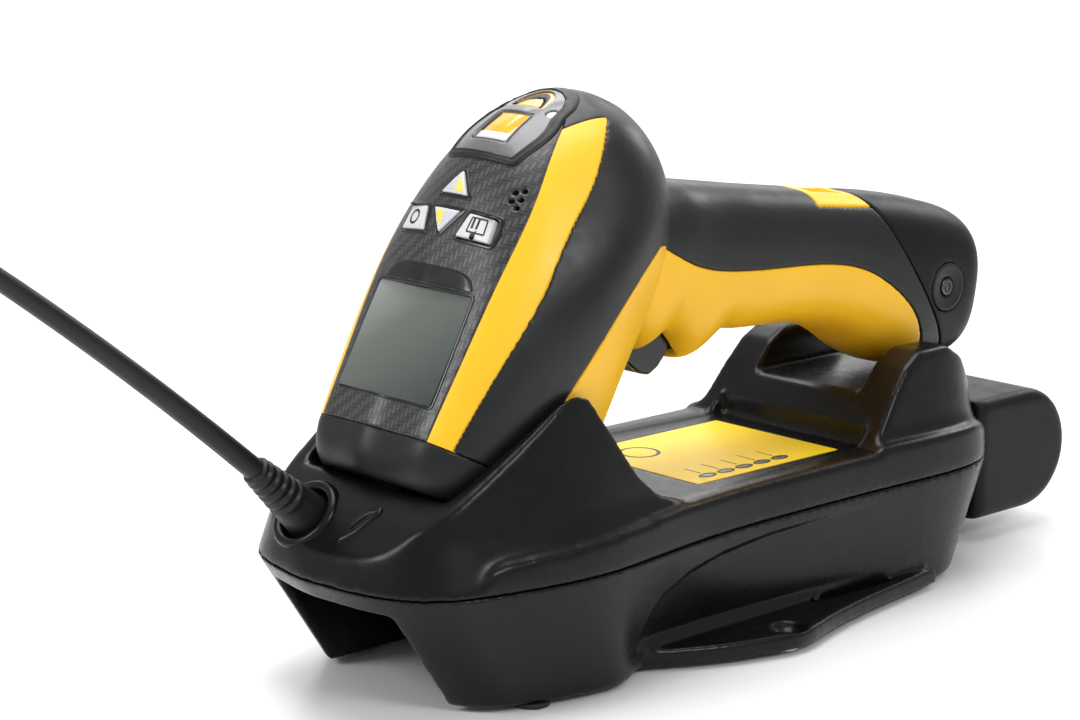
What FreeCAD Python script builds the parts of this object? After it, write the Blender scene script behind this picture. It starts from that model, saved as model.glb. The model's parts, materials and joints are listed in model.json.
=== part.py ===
"""Cordless handheld barcode scanner standing in its desk charging cradle.

Row frame: +Z up, origin on the table plane at the middle of the cradle's footprint, +X towards the
scanner's handle end, -X towards its nose, the object symmetric about the plane Y = 0 apart from the
antenna, the speaker holes and a few inner parts.  Millimetres.

The scanner is drawn in its own frame (x forward to the nose, z out of the display) and its handle in
a second one (x down the handle, z out of the handle's back), then both are placed as it is docked.
"""
import FreeCAD
import Part
import math
import os

V = FreeCAD.Vector

# ---------------------------------------------------------------- driving dimensions, scanner
DOCK_TILT = 60.27            # head axis below the horizontal when docked, degrees
DOCK_X = -76.8               # where the display's upper edge lies when docked
DOCK_Z = 103.7
HANDLE_RAKE = 109.4          # handle axis from the nose direction, degrees
HANDLE_X = -38.0             # top of the handle axis in the head's frame
HANDLE_Z = -60.0
WALL = 2.4                   # housing wall
SKIN = 1.6                   # keypad panel thickness
GAP = 0.3                    # clearance round a part that moves
HEAD_WIDTH = 73.2            # widest point of the head
HANDLE_WIDTH = 34.0          # handle at its waist

DISPLAY_LENGTH = 30.0        # lens, along the head
DISPLAY_WIDTH = 37.0
DISPLAY_X = 13.4             # middle of the lens
LENS_THICK = 1.2
LENS_SUNK = 0.9              # lens face below the panel's crown
LCD_THICK = 4.0

KEY_TRAVEL = 0.6
KEY_ROW_X = -19.4            # row of three keys
KEY_UP_X = -30.4
KEY_TALL = 6.6               # a key along the head
KEY_SIDE_Y = 12.2            # middle of a side key
KEY_SIDE_WIDTH = 9.6
KEY_MIDDLE_WIDTH = 9.6
KEY_PROUD = 0.9
MAT_THICK = 1.4

BEZEL_X0 = -66.0             # status light bezel
BEZEL_X1 = -40.0
BEZEL_HALF = 13.6
BEZEL_PROUD = 0.5
SQUARE_LENS_X = -49.6
SQUARE_LENS_LENGTH = 10.6
SQUARE_LENS_WIDTH = 13.6
ROUND_LENS_X = -57.6
ROUND_LENS_R = 6.2
LED_R = 1.3
LED_Y = 9.8
LED_X = -56.6

SEAM_X = 37.0                # nose bumper seam
NOSE_X = 49.0
WINDOW_WIDTH = 40.0
WINDOW_HEIGHT = 22.0
WINDOW_Z = -22.0
WINDOW_THICK = 1.6
PIN_YS = (-12.0, -4.0, 4.0, 12.0)   # charging contacts

TRIGGER_WIDTH = 15.0
TRIGGER_TRAVEL = 7.0         # degrees
PIN_R = 1.5
PIN_T = -1.0                 # trigger pin, down the handle and towards its back
PIN_H = -15.5
PIN_HALF = 15.7              # the pin's ends sit in blind bores in the housing's walls
SLOT_TOP = -11.0             # the trigger's slot, towards the handle's back

LATCH_START = 64.0           # along the handle
LATCH_WIDTH = 25.0
LATCH_FLOOR = 17.6
LATCH_TRAVEL = 1.2
POCKET_LENGTH = 13.0
POCKET_WIDTH = 12.0
POCKET_DEPTH = 2.6

PACK_START = 33.0            # battery pack, along the handle
PACK_END = 124.0
PACK_WIDTH = 26.0
PACK_BACK = 14.0
PACK_FRONT = -12.2
PACK_ROUND = 7.0
CAP_BACK_T = 83.5            # where the battery cap's edge crosses the handle's axis plane
CAP_SLOPE = 1.03             # its slant, towards the handle's front
DISC_T = 120.5
DISC_H = -1.0
DISC_R = 7.3
DISC_PROUD = 0.7
SCREW_R = 2.6

# ---------------------------------------------------------------- driving dimensions, cradle
PART_Z = 34.5                # parting plane of the two cradle shells
FOOT_H = 1.5                 # rubber feet
FOOT_R = 5.0
SHELL = 2.5                  # cradle wall
DECK_Z = 44.0
RAIL_H = 1.4                 # rim round the deck
POST_TOP = 70.5
SADDLE_Z = 58.0              # floor of the trough under the handle's end
CHEEK_TOP = 80.5
SEAT = 0.8                   # clearance of the docked scanner
HOLE_X = 11.0                # wall-mounting holes
HOLE_SPACING = 98.0
HOLE_R = 2.4
FLANGE_H = 5.0
ARCH_HALF = 24.0             # opening under the front rim
ARCH_TOP = 29.0
ARCH_DEPTH = -64.0

ANTENNA_Y = 13.0
ANTENNA_X = -103.0           # where its axis leaves the front rim
ANTENNA_Z = 43.5
ANTENNA_RISE = 43.0          # degrees
BOOT_R = 7.6
BOOT_LENGTH = 30.0
WHIP_R = 3.0
WHIP_LENGTH = 112.0
WHIP_DROP = 6.0              # degrees the whip bends forward along its length

SPARE_X0 = 62.0              # spare battery pack in the rear slot
SPARE_X1 = 140.0
SPARE_Z0 = 12.0
SPARE_SLIDE_GAP = 0.4
COLLAR_X = 130.0             # mouth of its slot
COLLAR_LOW = 8.0
COLLAR_TOP = 43.5
CAP_HALF = 19.5              # spare battery's cap: half width, and its round end
CAP_ROUND = 19.2
CAP_ROUND_X = 156.3
CAP_ROUND_Z = 26.3

os.makedirs("parts", exist_ok=True)


# ---------------------------------------------------------------- helpers
def save(name, shape):
    """Writes one node; a group is a compound of separate solids."""
    solids = [s for s in shape.Solids if s.Volume > 0.3]
    out = solids[0] if len(solids) == 1 else Part.makeCompound(solids)
    out.exportStep("parts/%s.step" % name)
    print("%-20s solids %d volume %9.0f valid %s" % (name, len(solids), out.Volume, out.isValid()))


def closed_curve(points):
    """Smooth closed wire through the points."""
    curve = Part.BSplineCurve()
    curve.interpolate(points, PeriodicFlag=True)
    return Part.Wire(curve.toShape())


def curve_edge(points):
    curve = Part.BSplineCurve()
    curve.interpolate(points)
    return curve.toShape()


def polygon_face(points):
    return Part.Face(Part.makePolygon(points + [points[0]]))


def box(x0, x1, y0, y1, z0, z1):
    return Part.makeBox(x1 - x0, y1 - y0, z1 - z0, V(x0, y0, z0))


def cylinder(radius, height, base, axis=V(0, 0, 1)):
    return Part.makeCylinder(radius, height, base, axis)


def fuse(shapes):
    return shapes[0].multiFuse(shapes[1:]) if len(shapes) > 1 else shapes[0]


def mirror_y(shape):
    return shape.mirror(V(0, 0, 0), V(0, 1, 0))


def both_sides(shape):
    return fuse([shape, mirror_y(shape)])


def moved(shape, placement):
    out = shape.copy()
    out.Placement = placement.multiply(out.Placement)
    return out


def frame(origin, x_dir, z_dir):
    return FreeCAD.Placement(origin, FreeCAD.Rotation(x_dir, z_dir.cross(x_dir), z_dir, "XZY"))


TILT = math.radians(DOCK_TILT)
RAKE = math.radians(HANDLE_RAKE)
HEAD_X_DIR = V(-math.cos(TILT), 0, -math.sin(TILT))
HEAD_Z_DIR = V(-math.sin(TILT), 0, math.cos(TILT))
DOCK = frame(V(DOCK_X, 0, DOCK_Z), HEAD_X_DIR, HEAD_Z_DIR)
HANDLE = frame(
    V(HANDLE_X, 0, HANDLE_Z),
    V(math.cos(RAKE), 0, -math.sin(RAKE)),
    V(-math.sin(RAKE), 0, -math.cos(RAKE)),
)


def from_handle(shape):
    return moved(shape, HANDLE)


def handle_point(t, h):
    return HANDLE.multVec(V(t, 0, h))


def save_docked(name, shape):
    save(name, moved(shape, DOCK))


def side_prism(edges_or_points, half=70.0):
    """Extrudes a closed outline in the x-z plane across the whole width."""
    if isinstance(edges_or_points[0], V):
        face = polygon_face(edges_or_points)
    else:
        face = Part.Face(Part.Wire(edges_or_points))
    face.translate(V(0, -half, 0))
    return face.extrude(V(0, 2 * half, 0))


def plan_prism(wire, low=-90.0, high=30.0):
    """Extrudes a closed outline in the x-y plane along z."""
    face = Part.Face(wire)
    face.translate(V(0, 0, low))
    return face.extrude(V(0, 0, high - low))


# ---------------------------------------------------------------- head outline
# x, crown z, then (y, z) of: panel edge, shoulder, widest point, lower side, bottom corner
HW = HEAD_WIDTH / 2
HEAD = [
    (NOSE_X, -2.8, 19.5, -5.5, 24.5, -10.5, HW - 9.6, -20.0, 26.0, -34.0, 20.0, -45.0),
    (46.5, -0.6, 20.8, -3.0, 26.0, -8.5, HW - 8.1, -19.5, 27.6, -35.0, 21.6, -48.0),
    (41.0, 0.7, 21.5, -0.8, 26.8, -6.0, HW - 6.6, -19.0, 29.0, -36.0, 23.0, -51.0),
    (34.0, 1.2, 21.8, -0.3, 27.4, -5.2, HW - 5.6, -19.0, 30.0, -37.0, 24.0, -54.0),
    (15.0, 2.0, 22.4, -0.2, 29.8, -6.4, HW - 3.2, -20.0, 31.5, -39.0, 23.5, -58.0),
    (-5.0, 3.3, 23.6, -0.6, 31.4, -8.8, HW - 0.6, -22.0, 32.4, -40.0, 21.5, -60.0),
    (-25.0, 4.2, 23.4, -2.8, 30.4, -11.4, HW, -25.0, 32.0, -42.0, 20.0, -62.0),
    (-42.0, 1.8, 20.5, -6.2, 27.2, -15.3, HW - 3.6, -27.5, 29.4, -43.0, 17.0, -61.0),
    (-55.0, -5.0, 15.6, -10.5, 22.8, -17.5, HW - 9.6, -29.5, 23.5, -42.0, 13.0, -56.0),
    (-64.0, -12.6, 9.5, -15.5, 14.5, -20.5, HW - 18.2, -30.0, 15.5, -38.5, 8.5, -47.0),
    (-69.6, -23.0, 3.6, -24.2, 5.6, -26.4, HW - 29.6, -31.0, 5.6, -35.6, 3.0, -39.4),
]
INNER_ROWS = slice(1, 10)    # the hollow stops short of the nose and of the back


def head_section(row, inset):
    x, zt, ye, ze, ys, zs, ym, zm, yl, zl, yb, zb = row
    half = [
        (0.55 * ye, zt - 0.28 * (zt - ze) - inset),
        (ye - 0.4 * inset, ze - inset),
        (ys - 0.8 * inset, zs - 0.6 * inset),
        (ym - inset, zm),
        (yl - inset, zl),
        (yb - 0.6 * inset, zb + 0.07 * (zt - zb) + 0.6 * inset),
        (0.55 * yb, zb + 0.4 + inset),
    ]
    pts = [V(x, 0, zt - inset)] + [V(x, y, z) for y, z in half]
    pts += [V(x, 0, zb + inset)] + [V(x, -y, z) for y, z in reversed(half)]
    return closed_curve(pts)


def head_solid(inset=0.0, hollow=False):
    rows = HEAD[INNER_ROWS] if hollow else HEAD
    return Part.makeLoft([head_section(r, inset) for r in rows], True, False)


# ---------------------------------------------------------------- handle outline
# distance down the handle, back, front, half width
HB = HANDLE_WIDTH / 2
HANDLE_ROWS = [
    (-22.0, 16.0, -24.0, HB + 3.0),
    (-14.0, 18.0, -23.6, HB + 2.7),
    (-6.0, 19.6, -23.4, HB + 2.4),
    (6.0, 20.8, -24.6, HB + 1.6),
    (15.0, 21.2, -25.4, HB + 1.0),
    (22.0, 21.4, -28.6, HB + 0.6),
    (28.0, 21.6, -24.6, HB + 0.2),
    (42.0, 22.0, -19.4, HB),
    (59.0, 22.7, -17.2, HB),
    (75.0, 23.4, -16.8, HB + 0.4),
    (88.0, 24.0, -19.4, HB + 1.2),
    (99.0, 24.4, -23.8, HB + 2.0),
    (109.0, 24.4, -26.6, HB + 2.5),
    (119.0, 24.0, -26.2, HB + 2.5),
    (128.0, 22.8, -24.6, HB + 2.3),
    (134.0, 20.6, -23.0, HB + 1.7),
    (137.6, 17.6, -20.6, HB - 0.2),
    (138.8, 12.5, -16.5, HB - 4.2),
]
HOLLOW_ROWS = 15
SQUARENESS = 2.7             # exponent of the handle's rounded sections
SECTION_POINTS = 16


def handle_section(row, inset):
    t, back, front, half = row
    mid = (back + front) / 2
    deep = (back - front) / 2 - inset
    wide = half - inset
    pts = []
    for k in range(SECTION_POINTS):
        a = 2 * math.pi * k / SECTION_POINTS
        c, s = math.cos(a), math.sin(a)
        r = (abs(c) ** SQUARENESS + abs(s) ** SQUARENESS) ** (-1 / SQUARENESS)
        pts.append(V(t, wide * r * s, mid + deep * r * c))
    return closed_curve(pts)


def handle_solid(inset=0.0, hollow=False):
    rows = HANDLE_ROWS[:HOLLOW_ROWS] if hollow else HANDLE_ROWS
    return from_handle(Part.makeLoft([handle_section(r, inset) for r in rows], True, False))


# ---------------------------------------------------------------- borders between the housings
# where yellow meets black, nose to tip on the head, then tip to front along the handle
HEAD_BORDER = [(62, -22.8), (37, -25.6), (16, -28.0), (-6, -31.6), (-24, -36.2), (-36.5, -43.5)]
GRIP_BORDER = [(-39.5, -54), (-40.6, -70), (-46, -88), (-54.6, -106), (-62.6, -122.5)]
GRIP_BORDER += [(-67.4, -138), (-67.6, -152), (-64, -166), (-56.5, -176.5), (-44, -187)]


def lower_region():
    """Everything on the yellow side of the border."""
    head_edge = curve_edge([V(x, 0, z) for x, z in HEAD_BORDER])
    tip = HEAD_BORDER[-1]
    grip_edge = curve_edge([V(x, 0, z) for x, z in [tip] + GRIP_BORDER])
    end = GRIP_BORDER[-1]
    start = HEAD_BORDER[0]
    corner = V(start[0], 0, end[1])
    closing = [
        Part.makeLine(V(end[0], 0, end[1]), corner),
        Part.makeLine(corner, V(start[0], 0, start[1])),
    ]
    return side_prism([head_edge, grip_edge] + closing)


def cap_region(shift):
    """The handle beyond the battery cap's slanting edge, moved down the handle by shift."""
    back = HANDLE_ROWS[11][1]
    far = 60.0
    top = V(CAP_BACK_T + shift + (back - far) / CAP_SLOPE, 0, far)
    low = V(CAP_BACK_T + shift + (back + far) / CAP_SLOPE, 0, -far)
    return from_handle(side_prism([top, low, V(220, 0, -far), V(220, 0, far)]))


# ---------------------------------------------------------------- plan outlines on the head
def stripe_outline(inner, outer, side):
    pts_in = [V(x, side * y, 0) for x, y in inner]
    pts_out = [V(x, side * y, 0) for x, y in reversed(outer)]
    a = curve_edge(pts_in)
    b = curve_edge(pts_out)
    joins = [Part.makeLine(pts_in[-1], pts_out[0]), Part.makeLine(pts_out[-1], pts_in[0])]
    return Part.Wire([a, joins[0], b, joins[1]])


STRIPE_INNER = [(SEAM_X, 21.2), (24, 21.8), (10, 22.6), (-10, 23.4), (-28, 22.6), (-43, 19.0), (-53, 15.2)]
STRIPE_OUTER = [(SEAM_X, 26.4), (24, 28.2), (10, 30.0), (-10, 31.2), (-28, 29.4), (-43, 26.6), (-54, 22.8), (-61.5, 17.6)]


def panel_wire():
    right = [V(x, y, 0) for x, y in STRIPE_INNER]
    left = [V(x, -y, 0) for x, y in reversed(STRIPE_INNER)]
    a = curve_edge(right)
    b = curve_edge(left)
    top = Part.Arc(right[-1], V(-61.5, 0, 0), left[0]).toShape()
    return Part.Wire([a, top, b, Part.makeLine(left[-1], right[0])])


def bezel_wire(grow=0.0):
    half = BEZEL_HALF + grow
    x1 = BEZEL_X1 + grow
    x0 = BEZEL_X0 - grow
    shoulder = -56.0
    lower = [V(shoulder, -0.86 * half, 0), V(-48, -half, 0), V(x1, -0.86 * half, 0)]
    upper = [V(x1, 0.86 * half, 0), V(-48, half, 0), V(shoulder, 0.86 * half, 0)]
    side_a = Part.Arc(*lower).toShape()
    side_b = Part.Arc(*upper).toShape()
    end = Part.makeLine(lower[-1], upper[0])
    nose = Part.Arc(upper[-1], V(x0, 0, 0), lower[0]).toShape()
    return Part.Wire([side_a, end, side_b, nose])


def square_lens_wire(grow=0.0):
    a = SQUARE_LENS_LENGTH / 2 + grow
    b = SQUARE_LENS_WIDTH / 2 + grow
    x = SQUARE_LENS_X
    corners = [V(x + a, -b, 0), V(x + a, b, 0), V(x - a, 0.92 * b, 0), V(x - a, -0.92 * b, 0)]
    return Part.makePolygon(corners + [corners[0]])


def round_lens_wire(grow=0.0):
    r = ROUND_LENS_R + grow
    a, b = V(ROUND_LENS_X + grow, -r, 0), V(ROUND_LENS_X + grow, r, 0)
    return Part.Wire([Part.makeLine(a, b), Part.Arc(b, V(ROUND_LENS_X - 1.1 * r, 0, 0), a).toShape()])


def key_wire(name, grow=0.0):
    a = KEY_TALL / 2
    mid = KEY_MIDDLE_WIDTH / 2
    side = KEY_SIDE_WIDTH / 2
    if name == "up":
        pts = [(KEY_UP_X - a, 0), (KEY_UP_X + a, -mid), (KEY_UP_X + a, mid)]
    elif name == "down":
        pts = [(KEY_ROW_X + a, 0), (KEY_ROW_X - a, mid), (KEY_ROW_X - a, -mid)]
    else:
        s = 1 if name == "right" else -1
        inner, outer = KEY_SIDE_Y - side, KEY_SIDE_Y + side
        pts = [(KEY_ROW_X - a, s * inner + s * 1.0), (KEY_ROW_X - a, s * outer - s * 0.8)]
        pts += [(KEY_ROW_X + a, s * outer), (KEY_ROW_X + a, s * (inner - 1.2))]
    wire = Part.makePolygon([V(x, y, 0) for x, y in pts + [pts[0]]])
    return wire.makeOffset2D(grow, 0) if grow else wire


KEYS = ["up", "down", "left", "right"]


# ---------------------------------------------------------------- the scanner's bodies
OUTER_HEAD = head_solid()
OUTER_HANDLE = handle_solid()
OUTER = OUTER_HEAD.fuse(OUTER_HANDLE)
HOLLOW = head_solid(WALL, True).fuse(handle_solid(WALL, True))
LOWER = lower_region()
UNDER_SKIN = head_solid(SKIN, True)
BUMPER = box(SEAM_X, NOSE_X + 5, -60, 60, -90, 30)
WINDOW_OPENING = box(
    NOSE_X - 8, NOSE_X + 5,
    -WINDOW_WIDTH / 2, WINDOW_WIDTH / 2,
    WINDOW_Z - WINDOW_HEIGHT / 2, WINDOW_Z + WINDOW_HEIGHT / 2,
)


def trigger_slot(grow):
    half = TRIGGER_WIDTH / 2 + grow
    return from_handle(box(-8.5 - grow, 18.6 + grow, -half, half, -40.0, SLOT_TOP))


def latch_block(grow, sink=0.0):
    """The latch's plan on the handle's back, ending along the battery cap's edge."""
    half = LATCH_WIDTH / 2 + grow
    floor = LATCH_FLOOR - grow - sink
    block = from_handle(box(LATCH_START - grow, 120, -half, half, floor, 40.0))
    return block.cut(cap_region(-0.2 + grow))


def skin_zone(wire):
    """Everything above the keypad panel's underside, inside a plan outline."""
    return plan_prism(wire, -30, 20).cut(UNDER_SKIN)


def housings():
    shell = OUTER.cut(HOLLOW)
    main = shell.cut(BUMPER).cut(cap_region(0.0))
    lower = main.common(LOWER).cut(trigger_slot(GAP)).cut(BORES)
    upper = main.cut(LOWER).cut(latch_block(GAP, LATCH_TRAVEL))
    zones = [skin_zone(panel_wire())]
    zones += [skin_zone(stripe_outline(STRIPE_INNER, STRIPE_OUTER, side)) for side in (1, -1)]
    for zone in zones:
        upper = upper.cut(zone)
    skins = [zone.common(OUTER_HEAD) for zone in zones]
    return upper, lower, skins[0], skins[1:], shell


def pin_centre():
    return handle_point(PIN_T, PIN_H)


BORE_HALF = PIN_HALF + GAP / 2
BORES = cylinder(PIN_R, 2 * BORE_HALF, pin_centre() - V(0, BORE_HALF, 0), V(0, 1, 0))

upper, lower, panel, stripes, shell = housings()

# under the keypad panel the upper housing is cut away for the display, the keys and the lights
crown_z = 2.0
display_hole = box(
    DISPLAY_X - DISPLAY_LENGTH / 2, DISPLAY_X + DISPLAY_LENGTH / 2,
    -DISPLAY_WIDTH / 2, DISPLAY_WIDTH / 2, -12, 20,
)
key_holes = fuse([plan_prism(key_wire(k, GAP), -12, 20) for k in KEYS])
bezel_hole = plan_prism(bezel_wire(), -34, 20)
speaker = fuse([
    cylinder(0.8, 16, V(x, y, -8), V(0, 0, 1))
    for x, y in [(-32.5, 18.6), (-30.0, 18.8), (-27.5, 19.0), (-31.4, 16.8), (-28.9, 17.0)]
])
cover_cuts = fuse([display_hole, key_holes, bezel_hole, speaker])
save_docked("top_panel", panel.cut(cover_cuts))
save_docked("upper_housing", upper.cut(cover_cuts))
save_docked("lower_housing", lower)
save_docked("stripe_left", stripes[1])
save_docked("stripe_right", stripes[0])
pads = fuse([box(NOSE_X - 0.4, NOSE_X + 0.1, y - 2.2, y + 2.2, -40.0, -37.0) for y in PIN_YS])
save_docked("nose_bumper", shell.common(BUMPER).cut(WINDOW_OPENING).cut(pads))
save_docked("charge_pads", pads)

save_docked("scan_window", box(
    NOSE_X - WINDOW_THICK - 0.8, NOSE_X - 0.8,
    -WINDOW_WIDTH / 2, WINDOW_WIDTH / 2,
    WINDOW_Z - WINDOW_HEIGHT / 2, WINDOW_Z + WINDOW_HEIGHT / 2,
))
ENGINE_TOP, ENGINE_LOW = -17.0, -33.0
save_docked("scan_engine", box(16, 36, -17, 17, ENGINE_LOW, ENGINE_TOP))
save_docked("engine_lens", cylinder(5.5, 5, V(36, 0, (ENGINE_LOW + ENGINE_TOP) / 2), V(1, 0, 0)))
board_z = -12.6
save_docked("main_board", box(-44, 34, -22, 22, board_z - 1.6, board_z))
save_docked("engine_bracket", box(14, 34, -19, 19, ENGINE_TOP, board_z - 1.6))

lens_top = crown_z - LENS_SUNK
lens = box(
    DISPLAY_X - DISPLAY_LENGTH / 2, DISPLAY_X + DISPLAY_LENGTH / 2,
    -DISPLAY_WIDTH / 2, DISPLAY_WIDTH / 2, lens_top - LENS_THICK, lens_top,
)
save_docked("display_lens", lens)
lcd = box(
    DISPLAY_X - DISPLAY_LENGTH / 2 + 1, DISPLAY_X + DISPLAY_LENGTH / 2 - 1,
    -DISPLAY_WIDTH / 2 + 1, DISPLAY_WIDTH / 2 - 1,
    lens_top - LENS_THICK - LCD_THICK, lens_top - LENS_THICK,
)
save_docked("display_module", lcd)

mat_z = -4.2
for name in KEYS:
    prism = plan_prism(key_wire(name), mat_z + KEY_TRAVEL + 0.15, 20)
    save_docked("key_" + name, prism.common(head_solid(-KEY_PROUD)))
save_docked("keypad_mat", box(-35, -14.5, -17.5, 17.5, mat_z - MAT_THICK, mat_z))

bezel = plan_prism(bezel_wire(), -34, 20).common(head_solid(-BEZEL_PROUD)).cut(head_solid(WALL, True))
lens_a = plan_prism(square_lens_wire(), -34, 20)
lens_b = plan_prism(round_lens_wire(), -34, 20)
leds = fuse([cylinder(LED_R, 60, V(LED_X, s * LED_Y, -34)) for s in (1, -1)])
save_docked("status_bezel", bezel.cut(fuse([lens_a, lens_b, leds])))
low_skin = head_solid(0.2).cut(head_solid(WALL, True))
save_docked("status_lens_square", lens_a.common(low_skin))
save_docked("status_lens_round", lens_b.common(low_skin))
save_docked("status_leds", leds.common(low_skin))
save_docked("beeper", cylinder(6.5, 4.5, V(-30, 12.5, mat_z - MAT_THICK - 6.5)))

# ---------------------------------------------------------------- trigger
pin = pin_centre()
trigger_pts = [(-7.5, -16.0), (-6.5, -23.5), (-3.5, -28.6), (2.0, -31.2), (6.0, -33.2), (9.5, -33.5)]
trigger_pts += [(12.6, -31.2), (15.4, -26.5), (16.6, -22.0), (16.6, -18.0), (6.0, -13.0), (-4.0, -12.0)]
half = TRIGGER_WIDTH / 2
trigger_face = polygon_face([V(t, -half, h) for t, h in trigger_pts])
trigger = from_handle(trigger_face.extrude(V(0, TRIGGER_WIDTH, 0)))
pin_bore = cylinder(PIN_R, 80, pin - V(0, 40, 0), V(0, 1, 0))
save_docked("trigger", trigger.cut(pin_bore))
save_docked("trigger_pin", cylinder(PIN_R, 2 * PIN_HALF, pin - V(0, PIN_HALF, 0), V(0, 1, 0)))
save_docked("trigger_switch", from_handle(box(12, 21, -4, 4, -13.2, -7.2)))
save_docked("trigger_spring", from_handle(cylinder(2.4, 3.6, V(4.0, 0, -11.8), V(0, 0, 1))))

# ---------------------------------------------------------------- battery latch, pack and cap
latch = latch_block(0.0).common(OUTER_HANDLE)
pocket = from_handle(box(
    LATCH_START + 4.0, LATCH_START + 4.0 + POCKET_LENGTH,
    -POCKET_WIDTH / 2, POCKET_WIDTH / 2, 22.9 - POCKET_DEPTH, 40,
))
save_docked("latch_button", latch.cut(pocket))
spring_low = PACK_BACK + GAP
spring_high = LATCH_FLOOR - LATCH_TRAVEL - GAP
save_docked("latch_spring", from_handle(
    cylinder(2.0, spring_high - spring_low, V(LATCH_START + 12, 0, spring_low))
))

pack_block = box(PACK_START, PACK_END, -PACK_WIDTH / 2, PACK_WIDTH / 2, PACK_FRONT, PACK_BACK)
long_edges = [e for e in pack_block.Edges if e.BoundBox.XLength > 1]
pack = from_handle(pack_block.makeFillet(PACK_ROUND, long_edges))
cap = OUTER_HANDLE.common(cap_region(GAP)).cut(pack)
disc_axis = V(0, 1, 0)
disc_spot = handle_point(DISC_T, DISC_H)
disc_face_y = HB + 2.0
disc_depth = 2.4
discs = both_sides(cylinder(DISC_R, disc_depth + DISC_PROUD, disc_spot + V(0, disc_face_y - disc_depth, 0), disc_axis))
screws = both_sides(cylinder(SCREW_R, disc_depth + DISC_PROUD, disc_spot + V(0, disc_face_y - disc_depth, 0), disc_axis))
save_docked("battery_cap", cap.cut(discs))
save_docked("cap_discs", discs.cut(screws))
save_docked("cap_screws", screws)
save_docked("battery_pack", pack)
contact_t = PACK_START - GAP - 3.0
save_docked("battery_contacts", fuse([
    from_handle(box(contact_t, contact_t + 3.0, y - 1.5, y + 1.5, -4, 4)) for y in (-7.5, -2.5, 2.5, 7.5)
]))
save_docked("contact_block", from_handle(box(contact_t - 6.0, contact_t, -10, 10, -8, 12)))

# ---------------------------------------------------------------- cradle
# plan outline at the parting plane, near side, front to rear
PLAN = [(-117.6, 0), (-116.2, 14), (-112.0, 28), (-104.5, 37.0), (-91, 42.5), (-73, 46.4), (-57, 47.6)]
PLAN += [(-30, 44.6), (-2, 41.2), (30, 40.4), (62, 40.6), (92, 41.0), (108, 38.0), (120, 29.0)]
PLAN += [(126.5, 16), (128.5, 0)]
# plan outline where the base shell meets its bottom plate
SOLE = [(-93, 0), (-92.5, 16), (-90.5, 27), (-84, 34.5), (-77, 38), (-60, 42.5), (-46, 43), (-36, 38)]
SOLE += [(-20, 36), (20, 36.5), (60, 37), (84, 38), (97, 35), (108, 26), (113, 14), (115, 0)]
TOP_Z = 84.0
TOP_SCALE = 0.84             # the upper shell leans in towards its top
TIER_STEP = 4.2              # how far the upper tier leans back behind the ledge
LEDGE_X = -94.0              # front end of the ledge


def plan_wire(points, z, inset=0.0, squeeze=1.0):
    """Smooth plan outline, drawn in by inset square to itself."""
    half = [(x * (squeeze * 0.1 + 0.9), y * squeeze) for x, y in points]
    ring = [(x, -y) for x, y in half] + [(x, y) for x, y in reversed(half[1:-1])]
    pts = []
    for k, (x, y) in enumerate(ring):
        x0, y0 = ring[k - 1]
        x1, y1 = ring[(k + 1) % len(ring)]
        length = math.hypot(x1 - x0, y1 - y0)
        pts.append(V(x - inset * (y1 - y0) / length, y + inset * (x1 - x0) / length, z))
    return closed_curve(pts)


def envelope(inset=0.0):
    """Side view of the upper shell: rim, nose cup, cheeks, deck, handle post."""
    d = inset
    pts = [(-125, PART_Z - 1), (-125, 38.5 - d), (-117.5, 39.5 - d), (-110, 46.0 - d), (-104.5, 51.5 - d)]
    pts += [(-62.5, CHEEK_TOP - 1.6 - d), (-58, CHEEK_TOP - d), (-53.0, CHEEK_TOP - 1.4 - d)]
    pts += [(-50, CHEEK_TOP - 6 - d), (-37.5, 56 - d), (-30, 49.5 - d), (-18, DECK_Z + RAIL_H - d)]
    pts += [(60, DECK_Z + RAIL_H - d), (64.5, DECK_Z + 6 - d), (72, 60 - d), (78, POST_TOP - 4 - d)]
    pts += [(85, POST_TOP - d), (98, POST_TOP - d), (107, POST_TOP - 5 - d), (116, 54 - d)]
    pts += [(124, 42.5 - d), (132, 39 - d), (132, PART_Z - 1)]
    return side_prism([V(x, 0, z) for x, z in pts])


def ledge_region(inset=0.0):
    """Side view of the wider lower tier, whose top is a ledge that rises to the deck's rails."""
    d = inset
    pts = [(LEDGE_X + d, PART_Z - 1), (LEDGE_X + d, 37.5 - d), (LEDGE_X + 3.0 + d, 41.0 - d)]
    pts += [(LEDGE_X + 8 + d, 42.4 - d), (-54, 43.9 - d), (-24, DECK_Z + RAIL_H - d)]
    pts += [(66, DECK_Z + RAIL_H + 1.5 - d), (104, DECK_Z + RAIL_H + 1.0 - d), (130, 41.0 - d), (132, PART_Z - 1)]
    return side_prism([V(x, 0, z) for x, z in pts])


def upper_body(inset=0.0):
    low = plan_wire(PLAN, PART_Z, inset)
    waist = plan_wire(PLAN, PART_Z + 15, inset, 0.975)
    top = plan_wire(PLAN, TOP_Z, inset + TIER_STEP, TOP_SCALE)
    shoulder = plan_wire(PLAN, PART_Z + 15, inset + TIER_STEP, 0.975)
    wide = Part.makeLoft([low, waist], True, True).common(ledge_region(inset)).common(envelope(inset))
    narrow = Part.makeLoft([low, shoulder, top], True, True).common(envelope(inset))
    return wide.fuse(narrow)


def deck_cut(grow):
    """Space over the deck, from the cheeks to the handle post."""
    w0, w1 = 35.0 + grow, 29.0 + grow
    z0 = DECK_Z - grow
    low = [(-62 - grow, w0), (-18, w0 - 1.0), (66 + grow, w1)]
    near = [V(x, -y, z0) for x, y in low]
    far = [V(x, y, z0) for x, y in reversed(low)]
    return polygon_face(near + far).extrude(V(0, 0, 80))


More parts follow.
